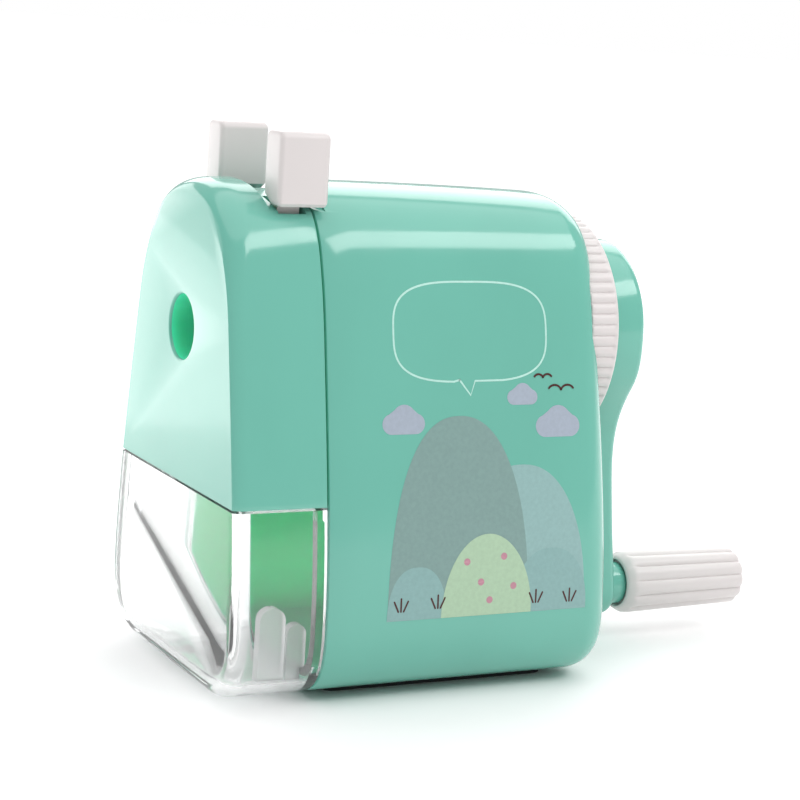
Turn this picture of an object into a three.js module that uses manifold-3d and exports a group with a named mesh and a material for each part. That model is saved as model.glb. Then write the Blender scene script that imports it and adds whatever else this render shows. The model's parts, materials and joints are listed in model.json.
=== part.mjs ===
// Crank pencil sharpener: spring-loaded front cover, see-through shavings drawer, planetary cutter.
// Millimetres, +Z up. Front (pencil side) faces -Y, the crank is at +Y.
// Origin: centre of the foot pad, on the table.
import * as THREE from 'three';
import { mergeVertices } from 'three/addons/utils/BufferGeometryUtils.js';
import Module from 'manifold-3d';

const wasm = await Module();
wasm.setup();

// ---------- driving dimensions ----------
const FRONT_Y = -37.5;        // front face of cover and drawer
const SEAM_Y = -20.5;         // front edge of the body shell
const REAR_Y = 36.4;          // rearmost point of the shell
const BASE_Z = 0.9;           // underside of the shell
const TOP_Z = 86;             // crown of the shell
const SPLIT_Z = 34.1;         // cover above, drawer below
const AXIS_Z = 60.5;          // pencil and crank axis
const WALL = 2;
const GAP = 0.3;              // play between neighbouring pieces
const EDGE_R = 4.5;           // rounding of the front edge
const REAR_R = 6;             // rounding of the rear edge
const REAR_HIGH_Y = 33.7;     // rear face near the top, where it leans forward
const COVER_REAR = SEAM_Y - GAP;
const FAR = 100;              // reach of a cutting block that has to pass right through

const HOUSING_R = 17.2;       // fixed cutter housing
const HOUSING_BORE = 15.9;
const HOUSING_Y = [-14, 33.6];
const MOUTH_R = 5.57;         // pencil hole at the front face
const PENCIL_R = 4.4;         // pencil's way through the cover
const RING_TEETH = 32;        // internal gear
const PINION_TEETH = 10;
const MODULE = 0.85;
const CUTTER_R = 5;
const CUTTER_SLOPE = 0.195;   // rise of the cutter axis towards the rear
const CUTTER_PIVOT = [0, -5, AXIS_Z - 8.9];
const CUTTER_BORE = 1.5;
const TILT = Math.atan(CUTTER_SLOPE);

const ROD_X = 18;             // guide rods of the front cover
const ROD_Z = 46;
const ROD_R = 1.6;
const SCREW_X = 20.5;         // screws of the inner plate
const SCREW_Z = 39.8;
const SCREW_HOLE_R = 1.4;
const PLATE_Y = [-19.6, -17.8];
const DECK_Z = [34.7, 36.5];  // deck between mechanism and drawer

const POCKET_TOP = 84.2;      // crowned floor of the pocket in which the buttons travel
const POCKET_FALL = 3.3;      // fall of that floor from the middle to the buttons' outer side
const POCKET_X = 17.5;
const PIVOT_X = 9.5;          // jaw levers
const PIVOT_Z = 72.5;
const LEVER_Y = [-26.5, -22.5];
const BUTTON_X = [9.7, 16.2];
const BUTTON_Y = [-27.9, -18.8];
const BUTTON_Z = [82.6, 94.9];

const LOCK_R = 20.7;          // knurled locking ring
const LOCK_Y = [31.7, 37.3];
const LOCK_PLATE_Y = 34.6;    // front of its closed rear wall
const LOCK_SEAT_R = 20.6;     // bayonet seat in the shell
const LUG_R = 19.4;
const LUG_ARC = 24;
const HUB_R = 16;             // crank
const HUB_Y = [38, 46.3];
const CRANK_THROW = 50.3;
const KNOB_Z = AXIS_Z - CRANK_THROW;
const KNOB_Y = [54, 81];
const KNOB_R = 6;
const BOSS_R = 4;             // crank's end, in the knob's mouth

const MINT = { color: 0x86cdb8, roughness: 0.3, metalness: 0 };
const WHITE = { color: 0xe9e4e2, roughness: 0.38, metalness: 0 };
const CLEAR = { color: 0xdfe8e6, roughness: 0.1, metalness: 0 };
const BLACK = { color: 0x2a2b2c, roughness: 0.6, metalness: 0 };
const RUBBER = { color: 0x1c1c1c, roughness: 0.9, metalness: 0 };
const STEEL = { color: 0xb9bcc0, roughness: 0.28, metalness: 1 };
const ALLOY = { color: 0x9da1a4, roughness: 0.45, metalness: 1 };
const BRASS = { color: 0xc9a24a, roughness: 0.35, metalness: 1 };

const group = new THREE.Group();
group.name = 'crank_pencil_sharpener';

// ---------- helpers ----------
function solid(geometry) {
  let g = geometry.index ? geometry.toNonIndexed() : geometry.clone();
  g.deleteAttribute('normal');
  g.deleteAttribute('uv');
  g = mergeVertices(g, 1e-4);
  return new wasm.Manifold(new wasm.Mesh({
    numProp: 3,
    vertProperties: new Float32Array(g.attributes.position.array),
    triVerts: new Uint32Array(g.index.array),
  }));
}

function add(name, body, look) {
  const m = body.getMesh();
  const g = new THREE.BufferGeometry();
  g.setAttribute('position', new THREE.BufferAttribute(Float32Array.from(m.vertProperties), 3));
  g.setIndex(new THREE.BufferAttribute(Uint32Array.from(m.triVerts), 1));
  g.computeVertexNormals();
  const mesh = new THREE.Mesh(g, new THREE.MeshStandardMaterial(look));
  mesh.name = name;
  group.add(mesh);
}

const shapeOf = (pts) => new THREE.Shape(pts.map(([a, b]) => new THREE.Vector2(a, b)));

// Outline in X-Z pushed along Y from y0 to y1; bevel = rounding of the edges at both ends.
function alongY(shape, y0, y1, { bevel = 0, segs = 3, curve = 12 } = {}) {
  const g = new THREE.ExtrudeGeometry(shape, {
    depth: y1 - y0 - 2 * bevel, curveSegments: curve, bevelEnabled: bevel > 0,
    bevelThickness: bevel, bevelSize: bevel, bevelOffset: -bevel, bevelSegments: segs,
  });
  return solid(g.rotateX(Math.PI / 2).translate(0, y1 - bevel, 0));
}

// Outline in Y-Z pushed along X.
function alongX(shape, x0, x1, curve = 8) {
  const g = new THREE.ExtrudeGeometry(shape, {
    depth: x1 - x0, curveSegments: curve, bevelEnabled: false });
  const m = new THREE.Matrix4().makeBasis(
    new THREE.Vector3(0, 1, 0), new THREE.Vector3(0, 0, 1), new THREE.Vector3(1, 0, 0));
  return solid(g.applyMatrix4(m).translate(x0, 0, 0));
}

// Outline in X-Y pushed along Z.
function alongZ(shape, z0, z1, curve = 8) {
  const g = new THREE.ExtrudeGeometry(shape, {
    depth: z1 - z0, curveSegments: curve, bevelEnabled: false });
  return solid(g.translate(0, 0, z0));
}

function box(x0, x1, y0, y1, z0, z1) {
  return solid(new THREE.BoxGeometry(Math.abs(x1 - x0), y1 - y0, z1 - z0)
    .translate((x0 + x1) / 2, (y0 + y1) / 2, (z0 + z1) / 2));
}

// Runs a function for the left and the right side of the object.
function bothSides(make) {
  make('left', -1);
  make('right', 1);
}

// Turned part about the Y direction through (x, z); profile = [radius, y].
function turned(profile, segs = 32, x = 0, z = AXIS_Z) {
  const pts = profile.map(([r, y]) => new THREE.Vector2(r, y));
  return solid(new THREE.LatheGeometry(pts, segs).translate(x, 0, z));
}

const rodY = (r, y0, y1, x = 0, z = AXIS_Z, segs = 24) =>
  turned([[0, y0], [r, y0], [r, y1], [0, y1]], segs, x, z);

const tubeY = (ri, ro, y0, y1, x = 0, z = AXIS_Z, segs = 32) =>
  turned([[ri, y0], [ro, y0], [ro, y1], [ri, y1], [ri, y0]], segs, x, z);

// Part of a ring, from angle a0 to a1 (degrees, from +X towards +Z).
function sector(ri, ro, a0, a1, y0, y1) {
  const s = new THREE.Shape();
  const r = (a) => a * Math.PI / 180;
  s.absarc(0, 0, ro, r(a0), r(a1), false);
  s.absarc(0, 0, ri, r(a1), r(a0), true);
  return alongY(s, y0, y1).translate([0, 0, AXIS_Z]);
}

// ---------- common outline of body, cover and drawer (seen from the front) ----------
const halfCurves = [
  [[17, BASE_Z], [23.5, BASE_Z], [28.7, 3.6], [28.7, 13]],
  [[28.7, 13], [28.7, 28], [24.5, 47.5], [22.2, 60]],
  [[22.2, 60], [20.9, 67], [19.9, 70.6], [18.3, 75]],
  [[18.3, 75], [16, 81.3], [11.5, TOP_Z], [0, TOP_Z]],
];

function outline(inset = 0, steps = 7) {
  const half = [];
  for (const c of halfCurves) {
    const [a, b, d, e] = c.map(([x, z]) => new THREE.Vector2(x, z));
    const curve = new THREE.CubicBezierCurve(a, b, d, e);
    for (let i = 0; i < steps; i++) {
      const t = i / steps;
      const p = curve.getPoint(t);
      const n = curve.getTangent(t);
      half.push([p.x - n.y * inset, p.y + n.x * inset]);
    }
  }
  half.push([0, TOP_Z - inset]);
  const left = half.slice(0, -1).reverse().map(([x, z]) => [-x, z]);
  return shapeOf([...half, ...left]);
}

// Side view of the shell: top falls to the rear, rear face leans forward.
function sideView(inset = 0) {
  const s = new THREE.Shape();
  const front = SEAM_Y - 25;
  const low = inset > 0 ? BASE_Z + inset : BASE_Z - 2;
  const rearLow = REAR_Y - inset;
  const rearHigh = REAR_HIGH_Y - inset;
  const top = TOP_Z - inset;
  s.moveTo(front, low);
  s.lineTo(rearLow - 5.5, low);
  s.quadraticCurveTo(rearLow + 0.2, low, rearLow, 9);
  s.lineTo(rearHigh, 76);
  s.quadraticCurveTo(rearHigh - 0.6, top - 2.0, rearHigh - 7, top - 1.2);
  s.quadraticCurveTo(12, top - 0.1, SEAM_Y, top + 0.2);
  s.lineTo(front, top + 0.2);
  return s;
}

// ---------- body shell ----------
const bodyOuter = alongY(outline(0), SEAM_Y - 8, REAR_Y, { bevel: REAR_R, segs: 4 })
  .intersect(alongX(sideView(0), -FAR, FAR))
  .subtract(box(-FAR, FAR, -FAR, SEAM_Y, -FAR, FAR));
const bodyInner = alongY(outline(WALL), SEAM_Y - 5, REAR_Y - WALL, { bevel: 4, segs: 2 })
  .intersect(alongX(sideView(WALL), -FAR, FAR));
// Reaches a little into the walls, so that inner details join them.
const insideRoom = alongY(outline(WALL - 0.6), SEAM_Y, REAR_Y - 3.4);

// Room above the pocket's crowned floor, and the web that carries it.
const pocketWebZ = [79.6, 84.8];
const pocketFloor = (x) => POCKET_TOP - POCKET_FALL * (x / BUTTON_X[1]) ** 2;
const floorPoints = [];
for (let x = -POCKET_X; x <= POCKET_X; x += POCKET_X / 8) floorPoints.push([x, pocketFloor(x)]);
const abovePocket = alongY(shapeOf([...floorPoints, [POCKET_X, FAR], [-POCKET_X, FAR]]), -FAR, FAR);
const pocketWeb = box(-POCKET_X + 1.5, POCKET_X - 1.5, SEAM_Y, SEAM_Y + 4.1, ...pocketWebZ)
  .intersect(insideRoom);
const pocketNotch = abovePocket.intersect(box(-FAR, FAR, SEAM_Y - 1, BUTTON_Y[1] + 0.5, 0, FAR));
// Bayonet seat around the rear opening.
const seatRear = LOCK_Y[0] - GAP;
const seatFront = seatRear - 2;
const seat = rodY(LOCK_SEAT_R, seatFront, seatRear, 0, AXIS_Z, 40);
let body = bodyOuter.subtract(bodyInner).add(pocketWeb).subtract(pocketNotch).add(seat)
  .subtract(rodY(HOUSING_R + 1, 20, FAR, 0, AXIS_Z, 40))
  .subtract(rodY(LOCK_R + 0.5, seatRear, FAR, 0, AXIS_Z, 48));
for (const a of [50, 170, 290]) {
  body = body.subtract(sector(15, LUG_R + GAP, a - LUG_ARC / 2 - 2, a + LUG_ARC / 2 + 2,
    seatFront - 1, 45));
}
bothSides((side, s) => {
  // Ledge that carries the deck.
  const ledge = box(s * 22, s * 27, -17, 30, DECK_Z[0] - 2.3, DECK_Z[0] - GAP);
  // Boss for an inner plate screw, with the rib that holds it.
  const [bossFront, bossRear] = [PLATE_Y[1] + GAP, -9];
  const boss = rodY(2.4, bossFront, bossRear, s * SCREW_X, SCREW_Z, 16)
    .add(box(s * SCREW_X, s * 26, bossFront, bossRear, SCREW_Z - 1, SCREW_Z + 1));
  body = body.add(ledge.intersect(insideRoom)).add(boss.intersect(insideRoom))
    .subtract(rodY(SCREW_HOLE_R, bossFront - 1, -10.5, s * SCREW_X, SCREW_Z, 12));
});
const PAD = { x: 19, y: [-16, 28], z: 1.6, corner: 3 };
body = body.subtract(box(-PAD.x - GAP, PAD.x + GAP, PAD.y[0] - GAP, PAD.y[1] + GAP, -1, PAD.z + GAP));
add('body_shell', body, MINT);

// Rectangle with rounded corners, centred on X.
function padOutline({ x, y: [y0, y1], corner: r }) {
  const s = new THREE.Shape();
  s.moveTo(-x + r, y0);
  s.lineTo(x - r, y0);
  s.quadraticCurveTo(x, y0, x, y0 + r);
  s.lineTo(x, y1 - r);
  s.quadraticCurveTo(x, y1, x - r, y1);
  s.lineTo(-x + r, y1);
  s.quadraticCurveTo(-x, y1, -x, y1 - r);
  s.lineTo(-x, y0 + r);
  s.quadraticCurveTo(-x, y0, -x + r, y0);
  return s;
}
add('foot_pad', alongZ(padOutline(PAD), 0, PAD.z, 4), RUBBER);

// Deck between the mechanism and the drawer, with the chute for shavings.
const deck = box(-24, 24, PLATE_Y[1] + 0.4, 30.5, ...DECK_Z)
  .subtract(box(-13, 13, -7, 20, 30, 40));
add('chip_deck', deck, MINT);

// Inner plate behind the front cover.
let plate = alongY(outline(WALL + GAP), ...PLATE_Y)
  .intersect(box(-30, 30, -22, -15, DECK_Z[1] + 0.4, 79.2))
  .subtract(rodY(PENCIL_R + 0.2, -22, -15));
bothSides((side, s) => {
  plate = plate.subtract(rodY(ROD_R + 0.35, -22, -15, s * ROD_X, ROD_Z, 16))
    .subtract(rodY(SCREW_HOLE_R, -22, -15, s * SCREW_X, SCREW_Z, 12));
});
add('inner_plate', plate, MINT);
bothSides((side, s) => {
  const under = PLATE_Y[0] - GAP;
  const profile = [[0, under - 1], [1.4, under - 1], [2, under - 0.4], [2, under], [1.1, under],
    [1.1, -11.5], [0, -11]];
  add(`plate_screw_${side}`, turned(profile, 16, s * SCREW_X, SCREW_Z), STEEL);
});

// ---------- front cover ----------
const coverFloor = SPLIT_Z + 0.2;
const frontOuter = alongY(outline(0), FRONT_Y, -10, { bevel: EDGE_R, segs: 4 })
  .intersect(box(-FAR, FAR, -FAR, COVER_REAR, -FAR, FAR));
const coverRoom = alongY(outline(WALL), FRONT_Y + WALL, -10, { bevel: 3, segs: 2 })
  .intersect(box(-FAR, FAR, -FAR, -15, coverFloor + WALL, FAR));
// Inner details of the cover stay inside this zone.
const coverZone = alongY(outline(1), FRONT_Y + 1, COVER_REAR);
let cover = frontOuter.intersect(box(-FAR, FAR, -FAR, -15, coverFloor, FAR)).subtract(coverRoom);
const inCover = (piece) => { cover = cover.add(piece.intersect(coverZone)); };
inCover(rodY(MOUTH_R + 2.4, FRONT_Y + 1, -31, 0, AXIS_Z, 32));
inCover(box(-POCKET_X + 1.1, POCKET_X - 1.1, -30.8, COVER_REAR, ...pocketWebZ));
// Wall that carries the jaw springs.
inCover(box(-1.1, 1.1, -36, -21.6, 73.6, pocketWebZ[0] + 0.4));
bothSides((side, s) => {
  inCover(rodY(3.4, -36.2, -30, s * ROD_X, ROD_Z, 20));
  inCover(rodY(3, -36.2, -27, s * PIVOT_X, PIVOT_Z, 20));
});
// Pocket in which the two buttons travel, with an arched front edge.
const pocketEdge = BUTTON_Y[0] + 0.1;
const pocket = new THREE.Shape();
pocket.moveTo(-POCKET_X, -15);
pocket.lineTo(-POCKET_X, pocketEdge);
pocket.quadraticCurveTo(0, pocketEdge - 3, POCKET_X, pocketEdge);
pocket.lineTo(POCKET_X, -15);
cover = cover.subtract(alongZ(pocket, 70, FAR, 10).intersect(abovePocket));
cover = cover.subtract(turned([[0, FRONT_Y - 1], [MOUTH_R + 0.3, FRONT_Y - 1], [MOUTH_R, FRONT_Y],
  [PENCIL_R, FRONT_Y + 3.9], [PENCIL_R, -30], [0, -30]], 32));
bothSides((side, s) => {
  // Slot for the lever's neck, and the bores of rod and pin.
  cover = cover.subtract(box(s * 7, s * 14.4, LEVER_Y[0] - 0.5, LEVER_Y[1] + 0.5, 78, 86))
    .subtract(rodY(ROD_R + 0.3, -35, -29, s * ROD_X, ROD_Z, 16))
    .subtract(rodY(1.5, -35.2, -26, s * PIVOT_X, PIVOT_Z, 16));
});
add('front_cover', cover, MINT);

// ---------- guide rods and return springs ----------
// Helical wire along Y, centred on (x, z).
function coil(y0, y1, radius, wire, turns, perTurn = 12) {
  class Helix extends THREE.Curve {
    getPoint(t, target = new THREE.Vector3()) {
      const a = 2 * Math.PI * turns * t;
      return target.set(radius * Math.cos(a), y0 + (y1 - y0) * t, radius * Math.sin(a));
    }
  }
  const section = shapeOf([[wire, 0], [0, wire], [-wire, 0], [0, -wire]]);
  return new THREE.ExtrudeGeometry(section, {
    steps: turns * perTurn, extrudePath: new Helix(), bevelEnabled: false });
}

bothSides((side, s) => {
  const x = s * ROD_X;
  const [rodFront, rodRear] = [-34.7, 28];
  add(`guide_rod_${side}`, turned([[0, rodFront], [ROD_R, rodFront], [ROD_R, rodRear - 0.4],
    [ROD_R - 0.4, rodRear], [0, rodRear]], 16, x, ROD_Z), STEEL);
  const collar = [24.7, 26.7];
  add(`rod_collar_${side}`, tubeY(ROD_R + 0.25, 3.2, ...collar, x, ROD_Z, 20), WHITE);
  const spring = coil(PLATE_Y[1] + 0.7, collar[0] - 0.7, 2.5, 0.36, 12);
  add(`return_spring_${side}`, solid(spring.translate(x, 0, ROD_Z)), STEEL);
});

// ---------- buttons with jaw levers ----------
bothSides((side, s) => {
  const mirrored = (pts) => shapeOf(pts.map(([x, z]) => [s * x, z]));
  const arm = mirrored([[6.4, 73], [12.6, 73], [8.4, 63.5], [8.4, 57], [3.6, 57], [3.6, 64.5]]);
  const corner = 1.3;
  const [x0, x1] = BUTTON_X.map((x) => s * x).sort((a, b) => a - b);
  const [low, top] = BUTTON_Z;
  // The underside slants to clear the crowned floor.
  const slant = [[s * BUTTON_X[0], low + 1.6], [s * (BUTTON_X[0] + 3), low], [s * BUTTON_X[1], low]]
    .sort(([a], [b]) => a - b);
  const button = new THREE.Shape();
  button.moveTo(...slant[0]);
  button.lineTo(...slant[1]);
  button.lineTo(...slant[2]);
  button.absarc(x1 - corner, top - corner, corner, 0, Math.PI / 2, false);
  button.absarc(x0 + corner, top - corner, corner, Math.PI / 2, Math.PI, false);
  const lever = alongY(button, ...BUTTON_Y, { bevel: 0.6, segs: 2, curve: 3 })
    .add(box(s * 9.9, s * 13.6, ...LEVER_Y, PIVOT_Z, low + 3))
    .add(alongY(arm, ...LEVER_Y))
    .add(rodY(3.2, ...LEVER_Y, s * PIVOT_X, PIVOT_Z, 24))
    .subtract(rodY(1.6, -30, -20, s * PIVOT_X, PIVOT_Z, 16));
  add(`jaw_lever_${side}`, lever, WHITE);

  add(`jaw_pin_${side}`, rodY(1.2, -34.9, -21.7, s * PIVOT_X, PIVOT_Z, 16), STEEL);

  // Saw-toothed grip that holds the pencil.
  const [gripLow, gripTop, gripTeeth] = [57.3, 64.1, 7];
  const gripPitch = (gripTop - gripLow) / gripTeeth;
  const bite = [[3.3, gripLow], [3.3, gripTop]];
  for (let i = 0; i < gripTeeth; i++) {
    const z = gripTop - i * gripPitch;
    bite.push([2.7, z], [1.9, z - gripPitch / 2]);
  }
  add(`jaw_tooth_${side}`, alongY(mirrored(bite), ...LEVER_Y), STEEL);

  const spring = coil(0, 6.8, 1.5, 0.26, 5, 10).rotateZ(-s * Math.PI / 2)
    .translate(s * 1.5, (LEVER_Y[0] + LEVER_Y[1]) / 2, PIVOT_Z + 4.5);
  add(`jaw_spring_${side}`, solid(spring), STEEL);
});

// ---------- shavings drawer ----------
const drawerFront = frontOuter.intersect(box(-FAR, FAR, -FAR, FAR, -FAR, SPLIT_Z - 0.2));
const drawerWall = 1.8;
const trayRear = 22;
const drawerHollow = alongY(outline(drawerWall), FRONT_Y + drawerWall, COVER_REAR - 1.5)
  .add(alongY(outline(4.2), FRONT_Y + 5, trayRear - 1.5));
const tray = alongY(outline(2.7), -22, trayRear).intersect(box(-FAR, FAR, -FAR, FAR, 0, SPLIT_Z - 2.7));
add('drawer', drawerFront.add(tray).subtract(drawerHollow), CLEAR);

// ---------- cutter housing ----------
const housing = tubeY(HOUSING_BORE, HOUSING_R, ...HOUSING_Y, 0, AXIS_Z, 40)
  .subtract(sector(14, 20, -130, -50, -3.5, 17.5));
add('cutter_housing', housing, BLACK);

const guideRear = HOUSING_Y[0] - GAP;
add('pencil_guide', turned([[4.3, -17.4], [6, -17.4], [6, -16.8], [HOUSING_R, -16.8],
  [HOUSING_R, guideRear], [4.1, guideRear], [4.1, -16.4], [4.3, -17.4]], 36), WHITE);

// Tooth outline of a gear, tooth centred on the angle `phase`.
function gearPoints(teeth, root, tip, rootShare, tipShare, phase) {
  const pts = [];
  const pitch = 2 * Math.PI / teeth;
  for (let i = 0; i < teeth; i++) {
    const c = phase + i * pitch;
    for (const [r, a] of [[root, -rootShare], [tip, -tipShare], [tip, tipShare], [root, rootShare]]) {
      pts.push([r * Math.cos(c + a * pitch), r * Math.sin(c + a * pitch)]);
    }
  }
  return pts;
}

const ringPitchR = RING_TEETH * MODULE / 2;
const pinionPitchR = PINION_TEETH * MODULE / 2;
const insertR = HOUSING_BORE - GAP;      // ring gear and rear bearing sit in the housing
const down = -Math.PI / 2;
const ringShape = new THREE.Shape();
ringShape.absarc(0, 0, insertR, 0, 2 * Math.PI, false);
const ringHole = gearPoints(RING_TEETH, ringPitchR + 1.0, ringPitchR - 0.55, 0.2, 0.1,
  down + Math.PI / RING_TEETH);
ringShape.holes.push(new THREE.Path(ringHole.map(([a, b]) => new THREE.Vector2(a, b))));
add('ring_gear', alongY(ringShape, -9.2, -5.4, { curve: 20 }).translate([0, 0, AXIS_Z]), ALLOY);

const SHAFT_R = 3;
const bearingR = SHAFT_R + 0.4;
add('rear_bearing', turned([[bearingR, 26.6], [5.5, 26.6], [5.5, 28.2], [insertR, 28.2],
  [insertR, 31.4], [bearingR, 31.4], [bearingR, 26.6]], 36), WHITE);

// ---------- planet carrier, cutter and crank shaft ----------
function onCutterAxis(piece) {
  return piece.rotate([TILT * 180 / Math.PI, 0, 0]).translate(CUTTER_PIVOT);
}
const pinHole = onCutterAxis(rodY(CUTTER_BORE, -12, 40, 0, 0, 16));
const carrier = tubeY(4.3, 12.6, -13.2, -10.4, 0, AXIS_Z, 36)
  .add(sector(9.4, 12.3, 25, 155, -10.8, 19.8))
  .add(rodY(12.3, 19.4, 23.2, 0, AXIS_Z, 36))
  .subtract(pinHole);
add('cutter_carrier', carrier, ALLOY);

const cutterTeeth = 14;
const cutterTwist = 0.045;    // radians per millimetre of length
const cutterLength = 20.2;
const cutterFront = 1.2;
const cutterBlank = new THREE.ExtrudeGeometry(
  shapeOf(gearPoints(cutterTeeth, CUTTER_R - 0.9, CUTTER_R, 0.34, 0.06, 0)),
  { depth: cutterLength, steps: 10, bevelEnabled: false });
const corners = cutterBlank.attributes.position;
for (let i = 0; i < corners.count; i++) {
  const a = corners.getZ(i) * cutterTwist;
  const [x, y] = [corners.getX(i), corners.getY(i)];
  corners.setXY(i, x * Math.cos(a) - y * Math.sin(a), x * Math.sin(a) + y * Math.cos(a));
}
const cutter = solid(cutterBlank.rotateX(Math.PI / 2).translate(0, cutterFront + cutterLength, 0))
  .subtract(rodY(CUTTER_BORE, -1, 30, 0, 0, 16));
add('helical_cutter', onCutterAxis(cutter), STEEL);

const pinion = alongY(shapeOf(gearPoints(PINION_TEETH, pinionPitchR - 0.95, pinionPitchR + 0.5,
  0.2, 0.08, down)), -3.6, -1.3).add(rodY(2.6, -1.6, cutterFront - GAP, 0, 0, 20))
  .subtract(rodY(CUTTER_BORE, -5, 5, 0, 0, 16));
add('cutter_pinion', onCutterAxis(pinion), BRASS);
add('cutter_pin', onCutterAxis(rodY(CUTTER_BORE - GAP, -8.1, 28.2, 0, 0, 16)), STEEL);

const shaftRear = 43.2;
add('crank_shaft', turned([[0, 23.6], [7.5, 23.6], [7.5, 25.6], [SHAFT_R, 26.1],
  [SHAFT_R, shaftRear], [0, shaftRear]], 24)
  .subtract(box(-5, 5, 36, 44, AXIS_Z + 2.3, AXIS_Z + 5))
  .subtract(rodY(1.3, 36, 50, 0, AXIS_Z, 12)), STEEL);

// ---------- knurled locking ring ----------
const ribs = 66;
const knurl = [];
for (let i = 0; i < ribs; i++) {
  const a = (k) => 2 * Math.PI * (i + k) / ribs;
  knurl.push([(LOCK_R - 0.5) * Math.cos(a(0)), (LOCK_R - 0.5) * Math.sin(a(0))]);
  knurl.push([LOCK_R * Math.cos(a(0.3)), LOCK_R * Math.sin(a(0.3))]);
  knurl.push([LOCK_R * Math.cos(a(0.7)), LOCK_R * Math.sin(a(0.7))]);
}
const skirtR = HOUSING_R + 0.25;         // skirt that passes through the shell's opening
const skirtFront = seatFront - GAP - 2.1;
let lock = alongY(shapeOf(knurl), ...LOCK_Y).translate([0, 0, AXIS_Z])
  .subtract(rodY(12.5, 30, 40, 0, AXIS_Z, 36))
  .subtract(rodY(skirtR, 30, LOCK_PLATE_Y, 0, AXIS_Z, 40))
  .add(tubeY(skirtR, skirtR + 0.5, skirtFront, LOCK_Y[0] + 0.4, 0, AXIS_Z, 40));
for (const a of [90, 210, 330]) {
  lock = lock.add(sector(skirtR + 0.15, LUG_R, a - LUG_ARC / 2, a + LUG_ARC / 2,
    skirtFront, skirtFront + 2.1));
}
add('lock_ring', lock, WHITE);

// ---------- crank ----------
const armEndR = 5.7;
const armSwing = 0.066;       // how far the arm swings outwards on its way down
// Edge of the arm from the hub down to its end: half width and height.
const armEdge = [[10.5, 53.5], [9.6, 48.2], [8.1, 44], [6.5, 39.5], [5.5, 35], [5.1, 28], [5.2, 20]];
const edgeUp = armEdge.slice().reverse();
const armShape = new THREE.Shape();
armShape.moveTo(-armEdge[0][0], AXIS_Z);
armShape.lineTo(-armEdge[0][0], armEdge[0][1]);
armShape.splineThru(armEdge.slice(1).map(([x, z]) => new THREE.Vector2(-x, z)));
armShape.absarc(0, KNOB_Z, armEndR, Math.PI - 0.3, 2 * Math.PI + 0.3, false);
armShape.lineTo(...edgeUp[0]);
armShape.splineThru(edgeUp.slice(1).map(([x, z]) => new THREE.Vector2(x, z)));
armShape.lineTo(armEdge[0][0], AXIS_Z);
const arm = alongY(armShape, 40.2, HUB_Y[1] - 0.2, { bevel: 1.2, segs: 2, curve: 6 })
  .warp((v) => { v[1] += (AXIS_Z - v[2]) * armSwing; });
const hub = turned([[0, HUB_Y[0]], [HUB_R - 1.2, HUB_Y[0]], [HUB_R, HUB_Y[0] + 1.2],
  [HUB_R, HUB_Y[1] - 3], [HUB_R - 0.9, HUB_Y[1] - 0.9], [HUB_R - 3, HUB_Y[1]], [0, HUB_Y[1]]], 40);
const screwHeadY = [45.1, 46.9];
const crank = hub.add(arm).add(rodY(BOSS_R, 46, KNOB_Y[0] + 0.6, 0, KNOB_Z, 24))
  .subtract(rodY(SHAFT_R + GAP, 30, shaftRear + GAP, 0, AXIS_Z, 24))
  .subtract(rodY(1.6, 40, 50, 0, AXIS_Z, 16))
  .subtract(rodY(4, screwHeadY[0] - GAP, 50, 0, AXIS_Z, 24))
  .subtract(rodY(2.45, 50.5, 60, 0, KNOB_Z, 16));
add('crank_arm', crank, MINT);

add('crank_screw', turned([[0, 37], [1.05, 37], [1.05, screwHeadY[0]], [3.4, screwHeadY[0]],
  [3.4, 46.2], [2.2, screwHeadY[1]], [0, screwHeadY[1]]], 20)
  .subtract(box(-2.4, 2.4, 46.4, 48, AXIS_Z - 0.4, AXIS_Z + 0.4)), STEEL);

// Fluted knob, free on its pin.
const flutes = 12;
const fluted = [];
for (let i = 0; i < flutes * 5; i++) {
  const a = 2 * Math.PI * i / (flutes * 5);
  const r = KNOB_R - 0.5 * Math.pow(Math.abs(Math.cos(flutes * a / 2)), 2.2);
  fluted.push([r * Math.cos(a), r * Math.sin(a)]);
}
const pinR = 2.2;
const pinHeadR = 3.6;
const pinHeadY = [78.6, 80.6];
const knobEnvelope = turned([[0, KNOB_Y[0]], [4.9, KNOB_Y[0]], [KNOB_R, KNOB_Y[0] + 1.6],
  [KNOB_R - 0.35, KNOB_Y[1] - 1], [KNOB_R - 1.3, KNOB_Y[1]], [0, KNOB_Y[1]]], 60, 0, KNOB_Z);
const knob = alongY(shapeOf(fluted), KNOB_Y[0] - 0.01, KNOB_Y[1]).translate([0, 0, KNOB_Z])
  .intersect(knobEnvelope)
  .subtract(rodY(BOSS_R + 0.4, KNOB_Y[0] - 1, KNOB_Y[0] + 1.2, 0, KNOB_Z, 24))
  .subtract(rodY(pinR + GAP, 50, 90, 0, KNOB_Z, 16))
  .subtract(rodY(pinHeadR + 0.4, pinHeadY[0] - GAP, 90, 0, KNOB_Z, 20));
add('crank_knob', knob, WHITE);
add('knob_pin', turned([[0, 50.8], [pinR, 50.8], [pinR, pinHeadY[0]], [pinHeadR, pinHeadY[0]],
  [pinHeadR, 79.8], [2.6, pinHeadY[1]], [0, pinHeadY[1]]], 20, 0, KNOB_Z), STEEL);

export default group;
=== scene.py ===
"""Looks of the crank pencil sharpener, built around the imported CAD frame.

Shapes are drawn in millimetres in the CAD's frame and scaled to metres when a piece is finished.
"""

import json
import math

import bmesh
import bpy
from mathutils import Matrix, Vector
from mathutils.bvhtree import BVHTree


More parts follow.
